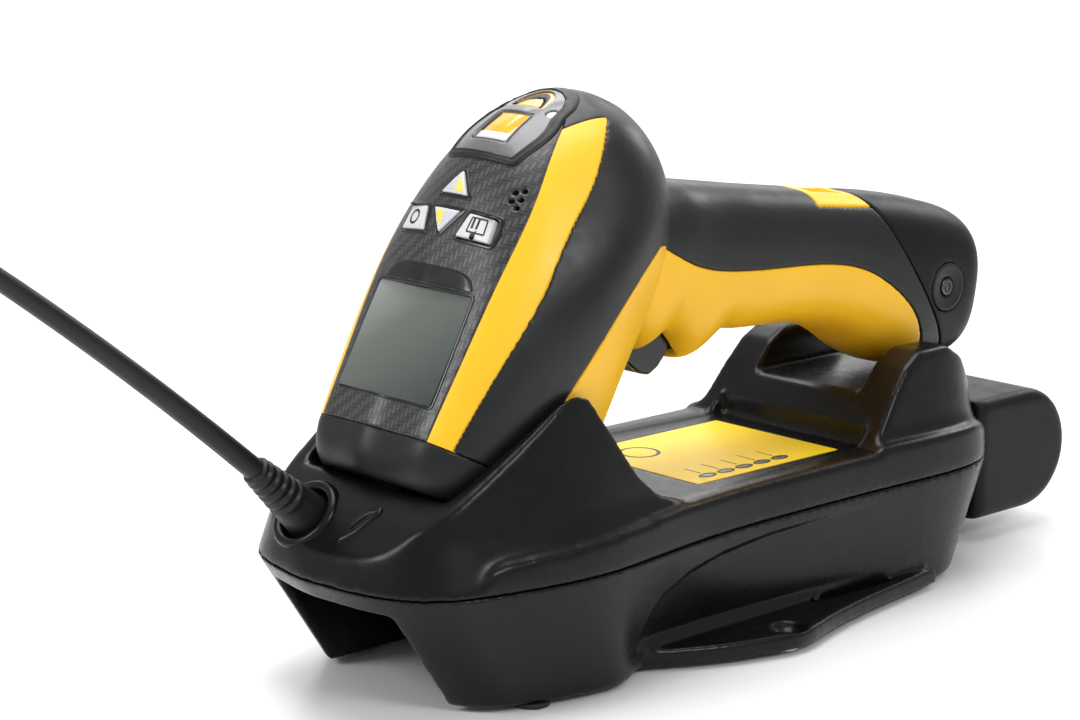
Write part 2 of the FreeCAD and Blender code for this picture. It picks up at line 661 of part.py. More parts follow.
def nose_cut(grow):
    """The docked head with clearance, drawn out along its own axis."""
    head = moved(head_solid(-grow), DOCK)
    below = HEAD[3]
    slab = Part.makeLoft([head_section((NOSE_X + grow,) + HEAD[2][1:], -grow),
                          head_section((NOSE_X - 14,) + below[1:], -grow)], True, True)
    return head.fuse(moved(slab, DOCK))


def saddle_cut(grow):
    """Trough in the handle post, open to the rear along the way the scanner leaves."""
    half = HB + 2.5 + grow
    floor = SADDLE_Z - (grow - SEAT)
    return box(60, 140, -half, half, floor, 100)


def slot_cut(grow):
    half = PACK_WIDTH / 2 + grow
    tall = PACK_BACK - PACK_FRONT
    x0 = SPARE_X0 - grow
    return box(x0, 140, -half, half, SPARE_Z0 - grow, SPARE_Z0 + tall + grow)


def collar(z0, z1):
    """Mouth of the spare battery's slot, standing out of the cradle's rear."""
    half = PACK_WIDTH / 2 + SPARE_SLIDE_GAP + SHELL
    return box(100, COLLAR_X, -half, half, z0, z1)


def cradle_spaces(grow):
    return [nose_cut(SEAT + grow), deck_cut(grow), saddle_cut(SEAT + grow), slot_cut(SPARE_SLIDE_GAP + grow)]


body = upper_body()
for space in cradle_spaces(0.0):
    body = body.cut(space)
hollow = upper_body(SHELL)
for space in cradle_spaces(SHELL):
    hollow = hollow.cut(space)
upper_shell = body.cut(hollow)

ANTENNA_DIR = V(-math.cos(math.radians(ANTENNA_RISE)), 0, math.sin(math.radians(ANTENNA_RISE)))
ANTENNA_AT = V(ANTENNA_X, ANTENNA_Y, ANTENNA_Z)
boss = cylinder(BOOT_R + 2.2, 13, ANTENNA_AT - ANTENNA_DIR * 9, ANTENNA_DIR)
boss = boss.common(box(-125, -60, -60, 60, PART_Z + 0.01, 90)).cut(nose_cut(SEAT))
socket_hole = cylinder(BOOT_R + 0.05, 40, ANTENNA_AT - ANTENNA_DIR * 2, ANTENNA_DIR)
upper_shell = upper_shell.fuse(boss).cut(socket_hole)
upper_shell = upper_shell.fuse(collar(PART_Z, COLLAR_TOP)).cut(slot_cut(SPARE_SLIDE_GAP))

# label and light windows in the deck
LABEL_X0, LABEL_X1, LABEL_HALF, LABEL_THICK = 0.0, 58.0, 24.4, 0.5
WINDOW_XS = [9.0 + 7.4 * k for k in range(5)]
WINDOW_Y = -19.4
label_seat = box(LABEL_X0, LABEL_X1, -LABEL_HALF, LABEL_HALF, DECK_Z - LABEL_THICK, DECK_Z + 5)
light_holes = fuse([box(x - 2.4, x + 2.4, WINDOW_Y - 1.3, WINDOW_Y + 1.3, DECK_Z - 6, DECK_Z + 5) for x in WINDOW_XS])
upper_shell = upper_shell.cut(label_seat).cut(light_holes)
label = box(LABEL_X0, LABEL_X1, -LABEL_HALF, LABEL_HALF, DECK_Z - LABEL_THICK, DECK_Z).cut(light_holes)
save("deck_label", label)
save("light_windows", light_holes.common(box(-10, 80, -40, 40, DECK_Z - SHELL - 0.8, DECK_Z - 0.1)))

# charging pins on the floor of the nose cup
pins = fuse([cylinder(1.1, 6.5, V(NOSE_X + 0.1 + GAP, y, -38.5), V(1, 0, 0)) for y in PIN_YS])
pins = moved(pins, DOCK)
save("charge_pins", pins)


def base_body(inset=0.0):
    top = plan_wire(PLAN, PART_Z, inset)
    low = plan_wire(SOLE, FOOT_H, inset)
    return Part.makeLoft([low, top], True, True)


base = base_body()
flange = [V(-38, -36, 0), V(-30, -40, 0), V(-17, -47, 0), V(0, -53, 0), V(HOLE_X, -HOLE_SPACING / 2 - 6, 0)]
flange += [V(22, -52.5, 0), V(44, -47.0, 0), V(66, -43.5, 0), V(88, -40.0, 0)]
flange_wire = Part.Wire([curve_edge(flange), Part.makeLine(flange[-1], flange[0])])
wing = Part.Face(flange_wire).extrude(V(0, 0, FLANGE_H))
wing.translate(V(0, 0, FOOT_H))
base = base.fuse(both_sides(wing))
hollow_base = base_body(SHELL).common(box(-140, 140, -60, 60, FOOT_H + SHELL, PART_Z + 1))
arch_outer = box(-140, ARCH_DEPTH + SHELL, -ARCH_HALF - SHELL, ARCH_HALF + SHELL, -1, ARCH_TOP + SHELL)
arch = box(-140, ARCH_DEPTH, -ARCH_HALF, ARCH_HALF, -1, ARCH_TOP)
slot_walls = slot_cut(SPARE_SLIDE_GAP + SHELL)
base = base.cut(hollow_base.cut(arch_outer).cut(slot_walls)).cut(arch)
base = base.fuse(collar(COLLAR_LOW, PART_Z)).cut(slot_cut(SPARE_SLIDE_GAP))
holes = fuse([cylinder(HOLE_R, 20, V(HOLE_X, s * HOLE_SPACING / 2, -1)) for s in (1, -1)])
sinks = fuse([cylinder(HOLE_R * 2, 20, V(HOLE_X, s * HOLE_SPACING / 2, FOOT_H + FLANGE_H - 2.4)) for s in (1, -1)])
data_port = box(96, 108, 19, 32, 6.0, 16.0)
power_inlet = cylinder(4.5, 12, V(94, -25, 11), V(1, 0, 0))
save("data_port", data_port)
save("power_inlet", power_inlet)
base = base.cut(holes).cut(sinks).cut(pins).cut(data_port).cut(power_inlet)
save("cradle_base", base)
socket = cylinder(3.2, 10, ANTENNA_AT - ANTENNA_DIR * 12, ANTENNA_DIR)
save("antenna_socket", socket)
save("cradle_upper", upper_shell.cut(base).cut(pins).cut(socket))

FEET = [(0, 0), (-72, 35), (-72, -35), (92, 26), (92, -26)]
save("rubber_feet", fuse([cylinder(FOOT_R, FOOT_H, V(x, y, 0)) for x, y in FEET]))
SCREWS = [(-40, 28), (-40, -28), (50, 26), (50, -26)]
save("base_screws", fuse([cylinder(2.8, 0.9, V(x, y, FOOT_H - 0.9)) for x, y in SCREWS]))
save("cradle_board", box(-40, 52, -24, 24, 12, 13.6))

# antenna: a rubber boot and a slim whip that leans forward along its length
boot = Part.makeCone(BOOT_R, WHIP_R + 0.6, BOOT_LENGTH, ANTENNA_AT - ANTENNA_DIR * 2, ANTENNA_DIR)
save("antenna_boot", boot)
whip_start = ANTENNA_AT + ANTENNA_DIR * (BOOT_LENGTH - 2)
bend = math.radians(ANTENNA_RISE - WHIP_DROP / 2)
late = math.radians(ANTENNA_RISE - WHIP_DROP)
mid_point = whip_start + V(-math.cos(bend), 0, math.sin(bend)) * (WHIP_LENGTH / 2)
tip_point = mid_point + V(-math.cos(late), 0, math.sin(late)) * (WHIP_LENGTH / 2)
spine = Part.Wire(Part.Arc(whip_start, mid_point, tip_point).toShape())
profile = Part.Wire(Part.makeCircle(WHIP_R, whip_start, ANTENNA_DIR))
whip = spine.makePipeShell([profile], True, False)
save("antenna_whip", whip)

# spare battery in its slot: the same pack, standing on its side, and its cap outside the cradle
tall = PACK_BACK - PACK_FRONT
half = PACK_WIDTH / 2
save("spare_pack", box(SPARE_X0, SPARE_X1, -half, half, SPARE_Z0, SPARE_Z0 + tall))
low_end = V(CAP_ROUND_X, -CAP_HALF, CAP_ROUND_Z - CAP_ROUND)
high_end = V(CAP_ROUND_X, -CAP_HALF, CAP_ROUND_Z + CAP_ROUND)
low_start = V(COLLAR_X + 0.5, -CAP_HALF, low_end.z)
high_start = V(COLLAR_X + 0.5, -CAP_HALF, high_end.z)
cap_edges = [
    Part.makeLine(low_start, low_end),
    Part.Arc(low_end, V(CAP_ROUND_X + CAP_ROUND, -CAP_HALF, CAP_ROUND_Z), high_end).toShape(),
    Part.makeLine(high_end, high_start),
    Part.makeLine(high_start, low_start),
]
spare_cap = Part.Face(Part.Wire(cap_edges)).extrude(V(0, 2 * CAP_HALF, 0))
spare_cap = spare_cap.makeFillet(3.5, [e for e in spare_cap.Edges if abs(e.BoundBox.YLength) < 1e-3])
save("spare_cap", spare_cap.cut(box(SPARE_X0, SPARE_X1, -half, half, SPARE_Z0, SPARE_Z0 + tall)))
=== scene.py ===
"""Cordless barcode scanner in its desk cradle: the looks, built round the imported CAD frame."""
import bpy
import bmesh
import json
import math
import numpy as np
from mathutils import Matrix, Vector
from mathutils.bvhtree import BVHTree


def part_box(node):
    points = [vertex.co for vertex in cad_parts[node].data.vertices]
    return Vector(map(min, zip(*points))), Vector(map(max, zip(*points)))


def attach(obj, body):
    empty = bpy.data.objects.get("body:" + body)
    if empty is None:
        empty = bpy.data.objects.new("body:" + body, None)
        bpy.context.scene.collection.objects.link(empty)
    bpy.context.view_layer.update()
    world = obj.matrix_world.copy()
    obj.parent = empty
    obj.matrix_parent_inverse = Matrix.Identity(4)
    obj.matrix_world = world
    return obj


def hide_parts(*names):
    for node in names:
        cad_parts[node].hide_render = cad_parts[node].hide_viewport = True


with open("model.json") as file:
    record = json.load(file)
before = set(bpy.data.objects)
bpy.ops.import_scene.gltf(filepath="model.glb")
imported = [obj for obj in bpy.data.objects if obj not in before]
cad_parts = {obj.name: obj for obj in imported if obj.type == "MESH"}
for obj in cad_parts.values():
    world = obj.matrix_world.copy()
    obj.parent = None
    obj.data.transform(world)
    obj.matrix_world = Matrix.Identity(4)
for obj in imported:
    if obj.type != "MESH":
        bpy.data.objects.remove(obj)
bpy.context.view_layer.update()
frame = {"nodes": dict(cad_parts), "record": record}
MM = 0.001
JOINT_AXES = {j["name"]: Vector(j["axis"]) for j in frame["record"]["behaviour"]["joints"]}
FORWARD = -JOINT_AXES["scanner_lift"]        # along the head, towards its nose
OUTWARD = -JOINT_AXES["key_up_press"]        # square out of the display
DOWN_GRIP = JOINT_AXES["battery_slide"]      # down the handle
GRIP_BACK = -JOINT_AXES["latch_press"]       # out of the handle's back
SIDE = Vector((0, -1, 0))
UP = Vector((0, 0, 1))
HEAD_AT = Vector((-76.8, 0, 103.7)) * MM     # where the head's own frame stands when docked
DISPLAY_X = 13.4
GRIP_AT = HEAD_AT + (FORWARD * -38.0 + OUTWARD * -60.0) * MM


def head_point(x, y, z=0.0):
    """A point given in the head's frame, in millimetres."""
    return HEAD_AT + (FORWARD * x + SIDE * y + OUTWARD * z) * MM


def grip_point(t, y, h):
    return GRIP_AT + (DOWN_GRIP * t + SIDE * y + GRIP_BACK * h) * MM


# ---------------------------------------------------------------- material helpers
LOW_STOP, HIGH_STOP = 0.3, 0.7               # where a noise texture's dark and light tones begin


class Nodes:
    """A short way to build one material's node tree."""

    def __init__(self, name):
        self.mat = bpy.data.materials.new(name)
        self.mat.use_nodes = True
        self.tree = self.mat.node_tree
        self.bsdf = self.tree.nodes["Principled BSDF"]

    def add(self, kind, **settings):
        node = self.tree.nodes.new(kind)
        inputs = settings.pop("inputs", {})
        for key, value in settings.items():
            setattr(node, key, value)
        for key, value in inputs.items():
            node.inputs[key].default_value = value
        return node

    def link(self, a, b):
        self.tree.links.new(a, b)

    def coords(self):
        return self.add("ShaderNodeTexCoord").outputs["Object"]

    def noise(self, scale, detail=3.0, rough=0.5):
        settings = {"Scale": scale, "Detail": detail, "Roughness": rough}
        node = self.add("ShaderNodeTexNoise", inputs=settings)
        self.link(self.coords(), node.inputs["Vector"])
        return node.outputs["Fac"]

    def ramp(self, source, stops):
        node = self.add("ShaderNodeValToRGB")
        ramp = node.color_ramp
        while len(ramp.elements) < len(stops):
            ramp.elements.new(0.5)
        for element, (place, colour) in zip(ramp.elements, stops):
            element.position = place
            element.color = (*colour, 1.0)
        self.link(source, node.inputs["Fac"])
        return node.outputs["Color"]

    def grey_ramp(self, source, low, high):
        return self.ramp(source, [(LOW_STOP, (low,) * 3), (HIGH_STOP, (high,) * 3)])

    def bump(self, height, strength, distance):
        node = self.add("ShaderNodeBump", inputs={"Strength": strength, "Distance": distance})
        self.link(height, node.inputs["Height"])
        return node.outputs["Normal"]

    def math(self, operation, a, b=None):
        node = self.add("ShaderNodeMath", operation=operation)
        for k, value in enumerate((a, b)):
            if value is None:
                continue
            if isinstance(value, (int, float)):
                node.inputs[k].default_value = value
            else:
                self.link(value, node.inputs[k])
        return node.outputs["Value"]

    def along(self, direction, origin, scale):
        """Distance from origin along a direction, in units of 1 / scale metres."""
        node = self.add("ShaderNodeVectorMath", operation="DOT_PRODUCT")
        self.link(self.coords(), node.inputs[0])
        node.inputs[1].default_value = direction * scale
        return self.math("SUBTRACT", node.outputs["Value"], origin.dot(direction) * scale)


def moulded(name, colour, vary, rough, grain, grain_depth, coat=0.0, specular=0.5):
    """Moulded plastic or rubber: fine spark-eroded grain, faint mottling, uneven gloss."""
    n = Nodes(name)
    broad = n.noise(45.0, 4.0)
    low = tuple(c * (1 - vary) for c in colour)
    high = tuple(min(1.0, c * (1 + vary)) for c in colour)
    n.link(n.ramp(broad, [(LOW_STOP, low), (HIGH_STOP, high)]), n.bsdf.inputs["Base Color"])
    n.link(n.grey_ramp(n.noise(160.0, 5.0), rough[0], rough[1]), n.bsdf.inputs["Roughness"])
    fine = n.noise(grain, 2.0, 0.6)
    n.link(n.bump(fine, 0.35, grain_depth), n.bsdf.inputs["Normal"])
    n.bsdf.inputs["Coat Weight"].default_value = coat
    n.bsdf.inputs["Coat Roughness"].default_value = 0.1
    n.bsdf.inputs["Specular IOR Level"].default_value = specular
    return n.mat


THREAD = 1.25 * MM                           # width of one thread of the printed weave


def woven_panel():
    """Black film with a printed twill weave: two threads over, two under, each a little domed."""
    n = Nodes("panel_weave")
    u = n.along(FORWARD, HEAD_AT, 1 / THREAD)
    v = n.along(SIDE, HEAD_AT, 1 / THREAD)
    step = n.math("FLOORED_MODULO", n.math("ADD", n.math("FLOOR", u), n.math("FLOOR", v)), 4.0)
    warp = n.math("LESS_THAN", step, 1.5)
    across = [n.math("SINE", n.math("MULTIPLY", n.math("FRACT", c), math.pi)) for c in (u, v)]
    dome_warp = n.math("MULTIPLY", across[1], warp)
    dome_weft = n.math("MULTIPLY", across[0], n.math("SUBTRACT", 1.0, warp))
    height = n.math("ADD", dome_warp, n.math("MULTIPLY", dome_weft, 0.45))
    tone = n.math("MULTIPLY", height, n.grey_ramp(n.noise(60.0, 3.0), 0.8, 1.0))
    stops = [(0.1, (0.0055, 0.0055, 0.006)), (0.95, (0.060, 0.061, 0.064))]
    n.link(n.ramp(tone, stops), n.bsdf.inputs["Base Color"])
    n.link(n.grey_ramp(n.noise(500.0, 3.0), 0.34, 0.5), n.bsdf.inputs["Roughness"])
    n.link(n.bump(height, 0.5, 5e-5), n.bsdf.inputs["Normal"])
    n.bsdf.inputs["Coat Weight"].default_value = 0.15
    n.bsdf.inputs["Coat Roughness"].default_value = 0.3
    return n.mat


def display_glass():
    """Grey-green liquid crystal behind its lens, with a painted reflection that makes it lighter towards the
    upper near corner of the glass.
    """
    n = Nodes("lcd_glass")
    u = n.along((FORWARD + SIDE * 0.8).normalized(), head_point(DISPLAY_X, 0), 1 / 0.046)
    # painted reflection on the glass: the light first stop fades through grey-green to the crystal's own dark
    # tone
    stops = [(0.0, (0.27, 0.285, 0.27)), (0.35, (0.115, 0.13, 0.115)), (1.0, (0.028, 0.040, 0.033))]
    speck = n.math("MULTIPLY", n.math("SUBTRACT", n.noise(900.0, 2.0), 0.5), 0.05)
    place = n.math("ADD", n.math("ADD", u, 0.5), speck)
    n.link(n.ramp(place, stops), n.bsdf.inputs["Base Color"])
    n.link(n.grey_ramp(n.noise(200.0, 4.0), 0.16, 0.24), n.bsdf.inputs["Roughness"])
    n.bsdf.inputs["Coat Weight"].default_value = 0.4
    n.bsdf.inputs["Coat Roughness"].default_value = 0.08
    return n.mat


def light_pipe(name, colour, glow):
    n = Nodes(name)
    deep = tuple(c * 0.72 for c in colour)
    tone = n.ramp(n.noise(220.0, 3.0), [(LOW_STOP, deep), (HIGH_STOP, colour)])
    n.link(tone, n.bsdf.inputs["Base Color"])
    n.link(n.grey_ramp(n.noise(400.0, 2.0), 0.08, 0.2), n.bsdf.inputs["Roughness"])
    n.bsdf.inputs["Subsurface Weight"].default_value = 0.25
    n.bsdf.inputs["Subsurface Radius"].default_value = (0.003, 0.002, 0.001)
    n.bsdf.inputs["Emission Color"].default_value = (*colour, 1.0)
    n.bsdf.inputs["Emission Strength"].default_value = glow
    n.bsdf.inputs["Coat Weight"].default_value = 0.5
    return n.mat


def metal(name, colour, rough):
    n = Nodes(name)
    deep = tuple(c * 0.85 for c in colour)
    tone = n.ramp(n.noise(300.0, 4.0), [(LOW_STOP, deep), (HIGH_STOP, colour)])
    n.link(tone, n.bsdf.inputs["Base Color"])
    n.link(n.grey_ramp(n.noise(500.0, 3.0), rough * 0.8, rough * 1.2), n.bsdf.inputs["Roughness"])
    n.bsdf.inputs["Metallic"].default_value = 1.0
    return n.mat


# colour, how far it varies, lowest and highest roughness, grain scale, grain depth in metres, other settings
MOULDED = {
    "black_housing": ((0.0085, 0.009, 0.0095), 0.2, (0.34, 0.44), 1500.0, 2e-5, {"specular": 0.36}),
    "black_rubber": ((0.0075, 0.0078, 0.0084), 0.25, (0.38, 0.5), 1800.0, 3e-5, {"specular": 0.34}),
    "yellow_plastic": ((0.90, 0.50, 0.018), 0.03, (0.32, 0.42), 1500.0, 1.5e-5, {"specular": 0.35}),
    "cradle_black": ((0.0034, 0.0036, 0.0042), 0.2, (0.25, 0.32), 1300.0, 1.2e-5, {"specular": 0.24}),
    "pack_black": ((0.007, 0.007, 0.008), 0.2, (0.36, 0.46), 1500.0, 2e-5, {"specular": 0.35}),
    "antenna_black": ((0.007, 0.007, 0.008), 0.25, (0.36, 0.48), 1600.0, 2e-5, {"specular": 0.35}),
    "trigger_black": ((0.007, 0.007, 0.008), 0.2, (0.14, 0.2), 900.0, 1e-5, {}),
    "key_white": ((0.60, 0.605, 0.62), 0.03, (0.25, 0.35), 1500.0, 2e-5, {}),
    "bezel_silver": ((0.115, 0.115, 0.12), 0.06, (0.24, 0.34), 2600.0, 3e-5, {"coat": 0.3}),
    "label_yellow": ((0.93, 0.66, 0.014), 0.03, (0.34, 0.44), 1800.0, 2e-5, {"specular": 0.3}),
    "cap_black": ((0.0042, 0.0044, 0.0048), 0.2, (0.36, 0.46), 1500.0, 2e-5, {"specular": 0.2}),
    "window_tint": ((0.035, 0.003, 0.003), 0.2, (0.05, 0.09), 600.0, 5e-6, {"coat": 0.8}),
    "pcb": ((0.012, 0.10, 0.035), 0.25, (0.25, 0.4), 900.0, 6e-5, {}),
    "foot_rubber": ((0.015, 0.015, 0.015), 0.3, (0.6, 0.75), 1500.0, 6e-5, {}),
    "print_black": ((0.008, 0.008, 0.009), 0.2, (0.4, 0.5), 1500.0, 1e-5, {}),
    "gloss_black": ((0.005, 0.005, 0.006), 0.2, (0.18, 0.26), 1200.0, 1e-5, {}),
    "print_lilac": ((0.55, 0.54, 0.62), 0.04, (0.3, 0.4), 1500.0, 1e-5, {}),
    "print_yellow": ((0.95, 0.66, 0.10), 0.04, (0.3, 0.4), 1500.0, 1e-5, {}),
}
MATS = {name: moulded(name, *row[:-1], **row[-1]) for name, row in MOULDED.items()}
MATS.update({
    "panel_weave": woven_panel(),
    "lcd": display_glass(),
    "amber_lens": light_pipe("amber_lens", (0.92, 0.42, 0.003), 0.12),
    "clear_lens": light_pipe("clear_lens", (0.80, 0.81, 0.82), 0.05),
    "steel": metal("steel", (0.55, 0.55, 0.57), 0.26),
    "dark_steel": metal("dark_steel", (0.10, 0.10, 0.11), 0.32),
    "gold": metal("gold", (0.83, 0.58, 0.22), 0.2),
})
SLOT_OF = {part["node"]: part["material_slot"] for part in frame["record"]["subparts"]}
BODY_OF = {node: body for body, nodes in frame["record"]["behaviour"]["bodies"].items() for node in nodes}
NODE_MATS = {"display_lens": "lcd", "battery_cap": "cap_black", "spare_cap": "cap_black"}
for name, node in frame["nodes"].items():
    for k in range(len(node.material_slots)):
        node.material_slots[k].material = MATS[NODE_MATS.get(name, SLOT_OF[name])]
    for poly in node.data.polygons:
        poly.use_smooth = True


# ---------------------------------------------------------------- mesh helpers
def arrays(mesh):
    points = np.empty(len(mesh.vertices) * 3)
    mesh.vertices.foreach_get("co", points)
    return points.reshape(-1, 3)


def place(name, mesh, mat, body):
    """Puts a finished mesh in the scene and makes it move with a body."""
    piece = bpy.data.objects.new(name, mesh)
    bpy.context.collection.objects.link(piece)
    mesh.materials.clear()
    mesh.materials.append(MATS[mat])
    for poly in mesh.polygons:
        poly.use_smooth = True
    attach(piece, body)
    return piece


def from_faces(name, verts, faces, mat, body):
    """A closed piece from its corners and faces, with its normals turned outward."""
    mesh = bpy.data.meshes.new(name)
    mesh.from_pydata([tuple(v) for v in verts], [], faces)
    bm = bmesh.new()
    bm.from_mesh(mesh)
    bmesh.ops.remove_doubles(bm, verts=bm.verts, dist=1e-7)
    bmesh.ops.recalc_face_normals(bm, faces=bm.faces)
    bm.to_mesh(mesh)
    bm.free()
    return place(name, mesh, mat, body)


PLAIN_ROUNDS = 3                             # these take the voxels' steps away everywhere


def relax(mesh, rounds, weight):
    """Evens out a mesh; weight says how much each point may move."""
    points = arrays(mesh)
    ends = np.empty(len(mesh.edges) * 2, dtype=np.int64)
    mesh.edges.foreach_get("vertices", ends)
    a, b = ends.reshape(-1, 2).T
    count = np.bincount(a, minlength=len(points)) + np.bincount(b, minlength=len(points))
    share = weight(points / MM)[:, None] * 0.5
    for step in range(rounds + PLAIN_ROUNDS):
        total = np.zeros_like(points)
        for axis in range(3):
            total[:, axis] += np.bincount(a, points[b, axis], len(points))
            total[:, axis] += np.bincount(b, points[a, axis], len(points))
        allowed = 0.5 if step < PLAIN_ROUNDS else share
        points += allowed * (total / count[:, None] - points)
    return points


SKEW = math.radians(37.0)                    # turns the voxel grid away from the long edges


def softened(node_name, voxel, rounds, weight=lambda p: np.ones(len(p)), shape=None, about=OUTWARD):
    """A CAD shell with the soft edges of a moulding, in place of the sharp-edged one."""
    node = frame["nodes"][node_name]
    bounds = [np.array(v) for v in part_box(node_name)]
    turn = Matrix.Rotation(SKEW, 4, about)
    copy = bpy.data.objects.new(node_name + "_copy", node.data.copy())
    copy.data.transform(turn)
    bpy.context.collection.objects.link(copy)
    modifier = copy.modifiers.new("voxels", "REMESH")
    modifier.mode = "VOXEL"
    modifier.voxel_size = voxel * MM
    modifier.adaptivity = 0.0
    bpy.context.view_layer.update()
    solved = copy.evaluated_get(bpy.context.evaluated_depsgraph_get())
    mesh = bpy.data.meshes.new_from_object(solved)
    bpy.data.objects.remove(copy)
    mesh.transform(turn.inverted())
    points = relax(mesh, rounds, weight)
    if shape:
        points = shape(points / MM) * MM
    points = np.clip(points, bounds[0], bounds[1])
    mesh.vertices.foreach_set("co", points.ravel())
    mesh.update()
    mesh.name = node_name + "_moulded"
    slot = SLOT_OF[node_name]
    piece = place(node_name + "_moulded", mesh, NODE_MATS.get(node_name, slot), BODY_OF[node_name])
    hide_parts(node_name)
    return piece


def surface_of(names):
    """A search tree over some CAD nodes, to lay prints and rims on them."""
    verts, faces = [], []
    for name in names:
        mesh = frame["nodes"][name].data
        base = len(verts)
        verts += [v.co.copy() for v in mesh.vertices]
        faces += [[base + k for k in poly.vertices] for poly in mesh.polygons]
    return BVHTree.FromPolygons(verts, faces)


HEAD_TOP = surface_of(["top_panel", "upper_housing", "stripe_left", "stripe_right", "nose_bumper"])
LAST_HEIGHT = {"z": 0.0}                     # used again where the search line meets nothing
SEARCH_FROM = 30.0                           # height over the head that a search line starts at


def on_head(x, y, lift, tree=None):
    """The point over (x, y) of the head, lift above its surface."""
    start = head_point(x, y, SEARCH_FROM)
    hit = (tree or HEAD_TOP).ray_cast(start, -OUTWARD)
    if hit[0] is not None:
        LAST_HEIGHT["z"] = SEARCH_FROM - hit[3] / MM
    return head_point(x, y, LAST_HEIGHT["z"] + lift)


def rounded(corners, radius, steps=5):
    """A polygon with round corners, as a dense list of points."""
    out = []
    count = len(corners)
    for k in range(count):
        p = Vector(corners[k])
        a = (Vector(corners[k - 1]) - p)
        b = (Vector(corners[(k + 1) % count]) - p)
        reach = min(radius, 0.45 * a.length, 0.45 * b.length)
        p0, p1 = p + a.normalized() * reach, p + b.normalized() * reach
        for s in range(steps + 1):
            f = s / steps
            out.append(tuple(p0 * (1 - f) ** 2 + p * 2 * f * (1 - f) + p1 * f ** 2))
    return out


def dense(points, longest=1.2):
    """A closed outline with no step much longer than the given length."""
    out = []
    for k, p in enumerate(points):
        q = Vector(points[(k + 1) % len(points)])
        p = Vector(p)
        parts = max(1, int((q - p).length / longest))
        out += [tuple(p.lerp(q, s / parts)) for s in range(parts)]
    return out


def inward(ring, distance):
    """The ring drawn in by a distance, square to itself."""
    pts = [Vector(p) for p in ring]
    area = sum(pts[k - 1].x * pts[k].y - pts[k].x * pts[k - 1].y for k in range(len(pts)))
    turn = 1 if area > 0 else -1
    out = []
    for k in range(len(pts)):
        along = (pts[(k + 1) % len(pts)] - pts[k - 1]).normalized()
        out.append(tuple(pts[k] + Vector((-along.y, along.x)) * distance * turn))
    return out


def joined(rows, n, closed=False):
    """The four-sided faces between neighbouring rows of n points each."""
    faces = []
    for r in range(rows if closed else rows - 1):
        a, b = r * n, (r + 1) % rows * n
        for k in range(n):
            j = (k + 1) % n
            faces.append((a + k, a + j, b + j, b + k))
    return faces


def rings_to_mesh(name, rings, mat, body, lay):
    """Joins rings of equal length into one closed skin; lay turns (x, y, lift) into a place."""
    verts = [lay(x, y, z) for ring in rings for x, y, z in ring]
    n = len(rings[0])
    faces = joined(len(rings), n)
    last = (len(rings) - 1) * n
    middle = rings[-1]
    cx = sum(p[0] for p in middle) / n
    cy = sum(p[1] for p in middle) / n
    verts.append(lay(cx, cy, middle[0][2]))
    faces += [(last + k, last + (k + 1) % n, len(verts) - 1) for k in range(n)]
    return from_faces(name, verts, faces, mat, body)


def pad(name, outline, lift, mat, body, lay=on_head, edge=0.25, sunk=0.35, inner=3):
    """A thin printed or moulded patch with a rolled edge, laid on a surface."""
    ring = dense(outline)
    rings = [[(x, y, -sunk) for x, y in ring], [(x, y, lift - edge * 0.6) for x, y in ring]]
    rings.append([(x, y, lift) for x, y in inward(ring, edge)])
    cx = sum(p[0] for p in ring) / len(ring)
    cy = sum(p[1] for p in ring) / len(ring)
    for s in range(1, inner + 1):
        f = 1 - s / (inner + 1)
        rings.append([(cx + (x - cx) * f, cy + (y - cy) * f, lift) for x, y, _ in rings[2]])
    return rings_to_mesh(name, rings, mat, body, lay)


def band(name, outline, width, lift, mat, body, lay=on_head, steps=8, sunk=0.4):
    """A rim of round section that follows an outline; its outer edge lies on the outline."""
    ring = dense(outline)
    rings = [[(x, y, -sunk) for x, y in ring]]
    for s in range(steps + 1):
        a = math.pi * s / steps
        shift = width * (1 - math.cos(a)) / 2
        rings.append([(x, y, lift * math.sin(a) ** 0.7) for x, y in inward(ring, shift)])
    rings.append([(x, y, -sunk) for x, y in inward(ring, width)])
    verts = [lay(x, y, z) for r in rings for x, y, z in r]
    return from_faces(name, verts, joined(len(rings), len(ring), closed=True), mat, body)


def lathe(name, profile, origin, axis, mat, body, segments=64, lobes=None):
    """Turns a profile of (radius, height) round an axis; lobes wavers the radius."""
    axis = axis.normalized()
    across = axis.orthogonal().normalized()
    other = axis.cross(across)
    verts = []
    for r, t in profile:
        for k in range(segments):
            a = 2 * math.pi * k / segments
            radius = r * (lobes(a, r) if lobes else 1.0)
            verts.append(origin + (across * math.cos(a) + other * math.sin(a)) * radius * MM + axis * t * MM)
    faces = joined(len(profile), segments)
    faces.append(tuple(range(segments)))
    faces.append(tuple(range(len(verts) - segments, len(verts))))
    return from_faces(name, verts, faces, mat, body)


def tube(name, path, radius, steps, mat, body, segments=40):
    """A tube of changing radius along a path, both given as functions of 0 to 1."""
    verts = []
    for s in range(steps + 1):
        f = s / steps
        along = (path(min(1.0, f + 0.01)) - path(max(0.0, f - 0.01))).normalized()
        across = along.cross(Vector((0, 1, 0))).normalized()
        other = along.cross(across)
        for k in range(segments):
            a = 2 * math.pi * k / segments
            verts.append(path(f) + (across * math.cos(a) + other * math.sin(a)) * radius(f) * MM)
    faces = joined(steps + 1, segments)
    faces.append(tuple(range(segments)))
    faces.append(tuple(range(len(verts) - segments, len(verts))))
    return from_faces(name, verts, faces, mat, body)


# ---------------------------------------------------------------- housings with moulded edges
PART_Z = 34.5                                # parting plane of the cradle
DECK_Z = 44.0
RECESS_DEPTH = 2.0                           # of the swept recess in the base's flanks
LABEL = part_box("deck_label")


def near(value, centre, soft):
    """1 away from centre, 0 at it, with a soft change over the given width."""
    return np.clip(np.abs(value - centre) / soft, 0, 1)


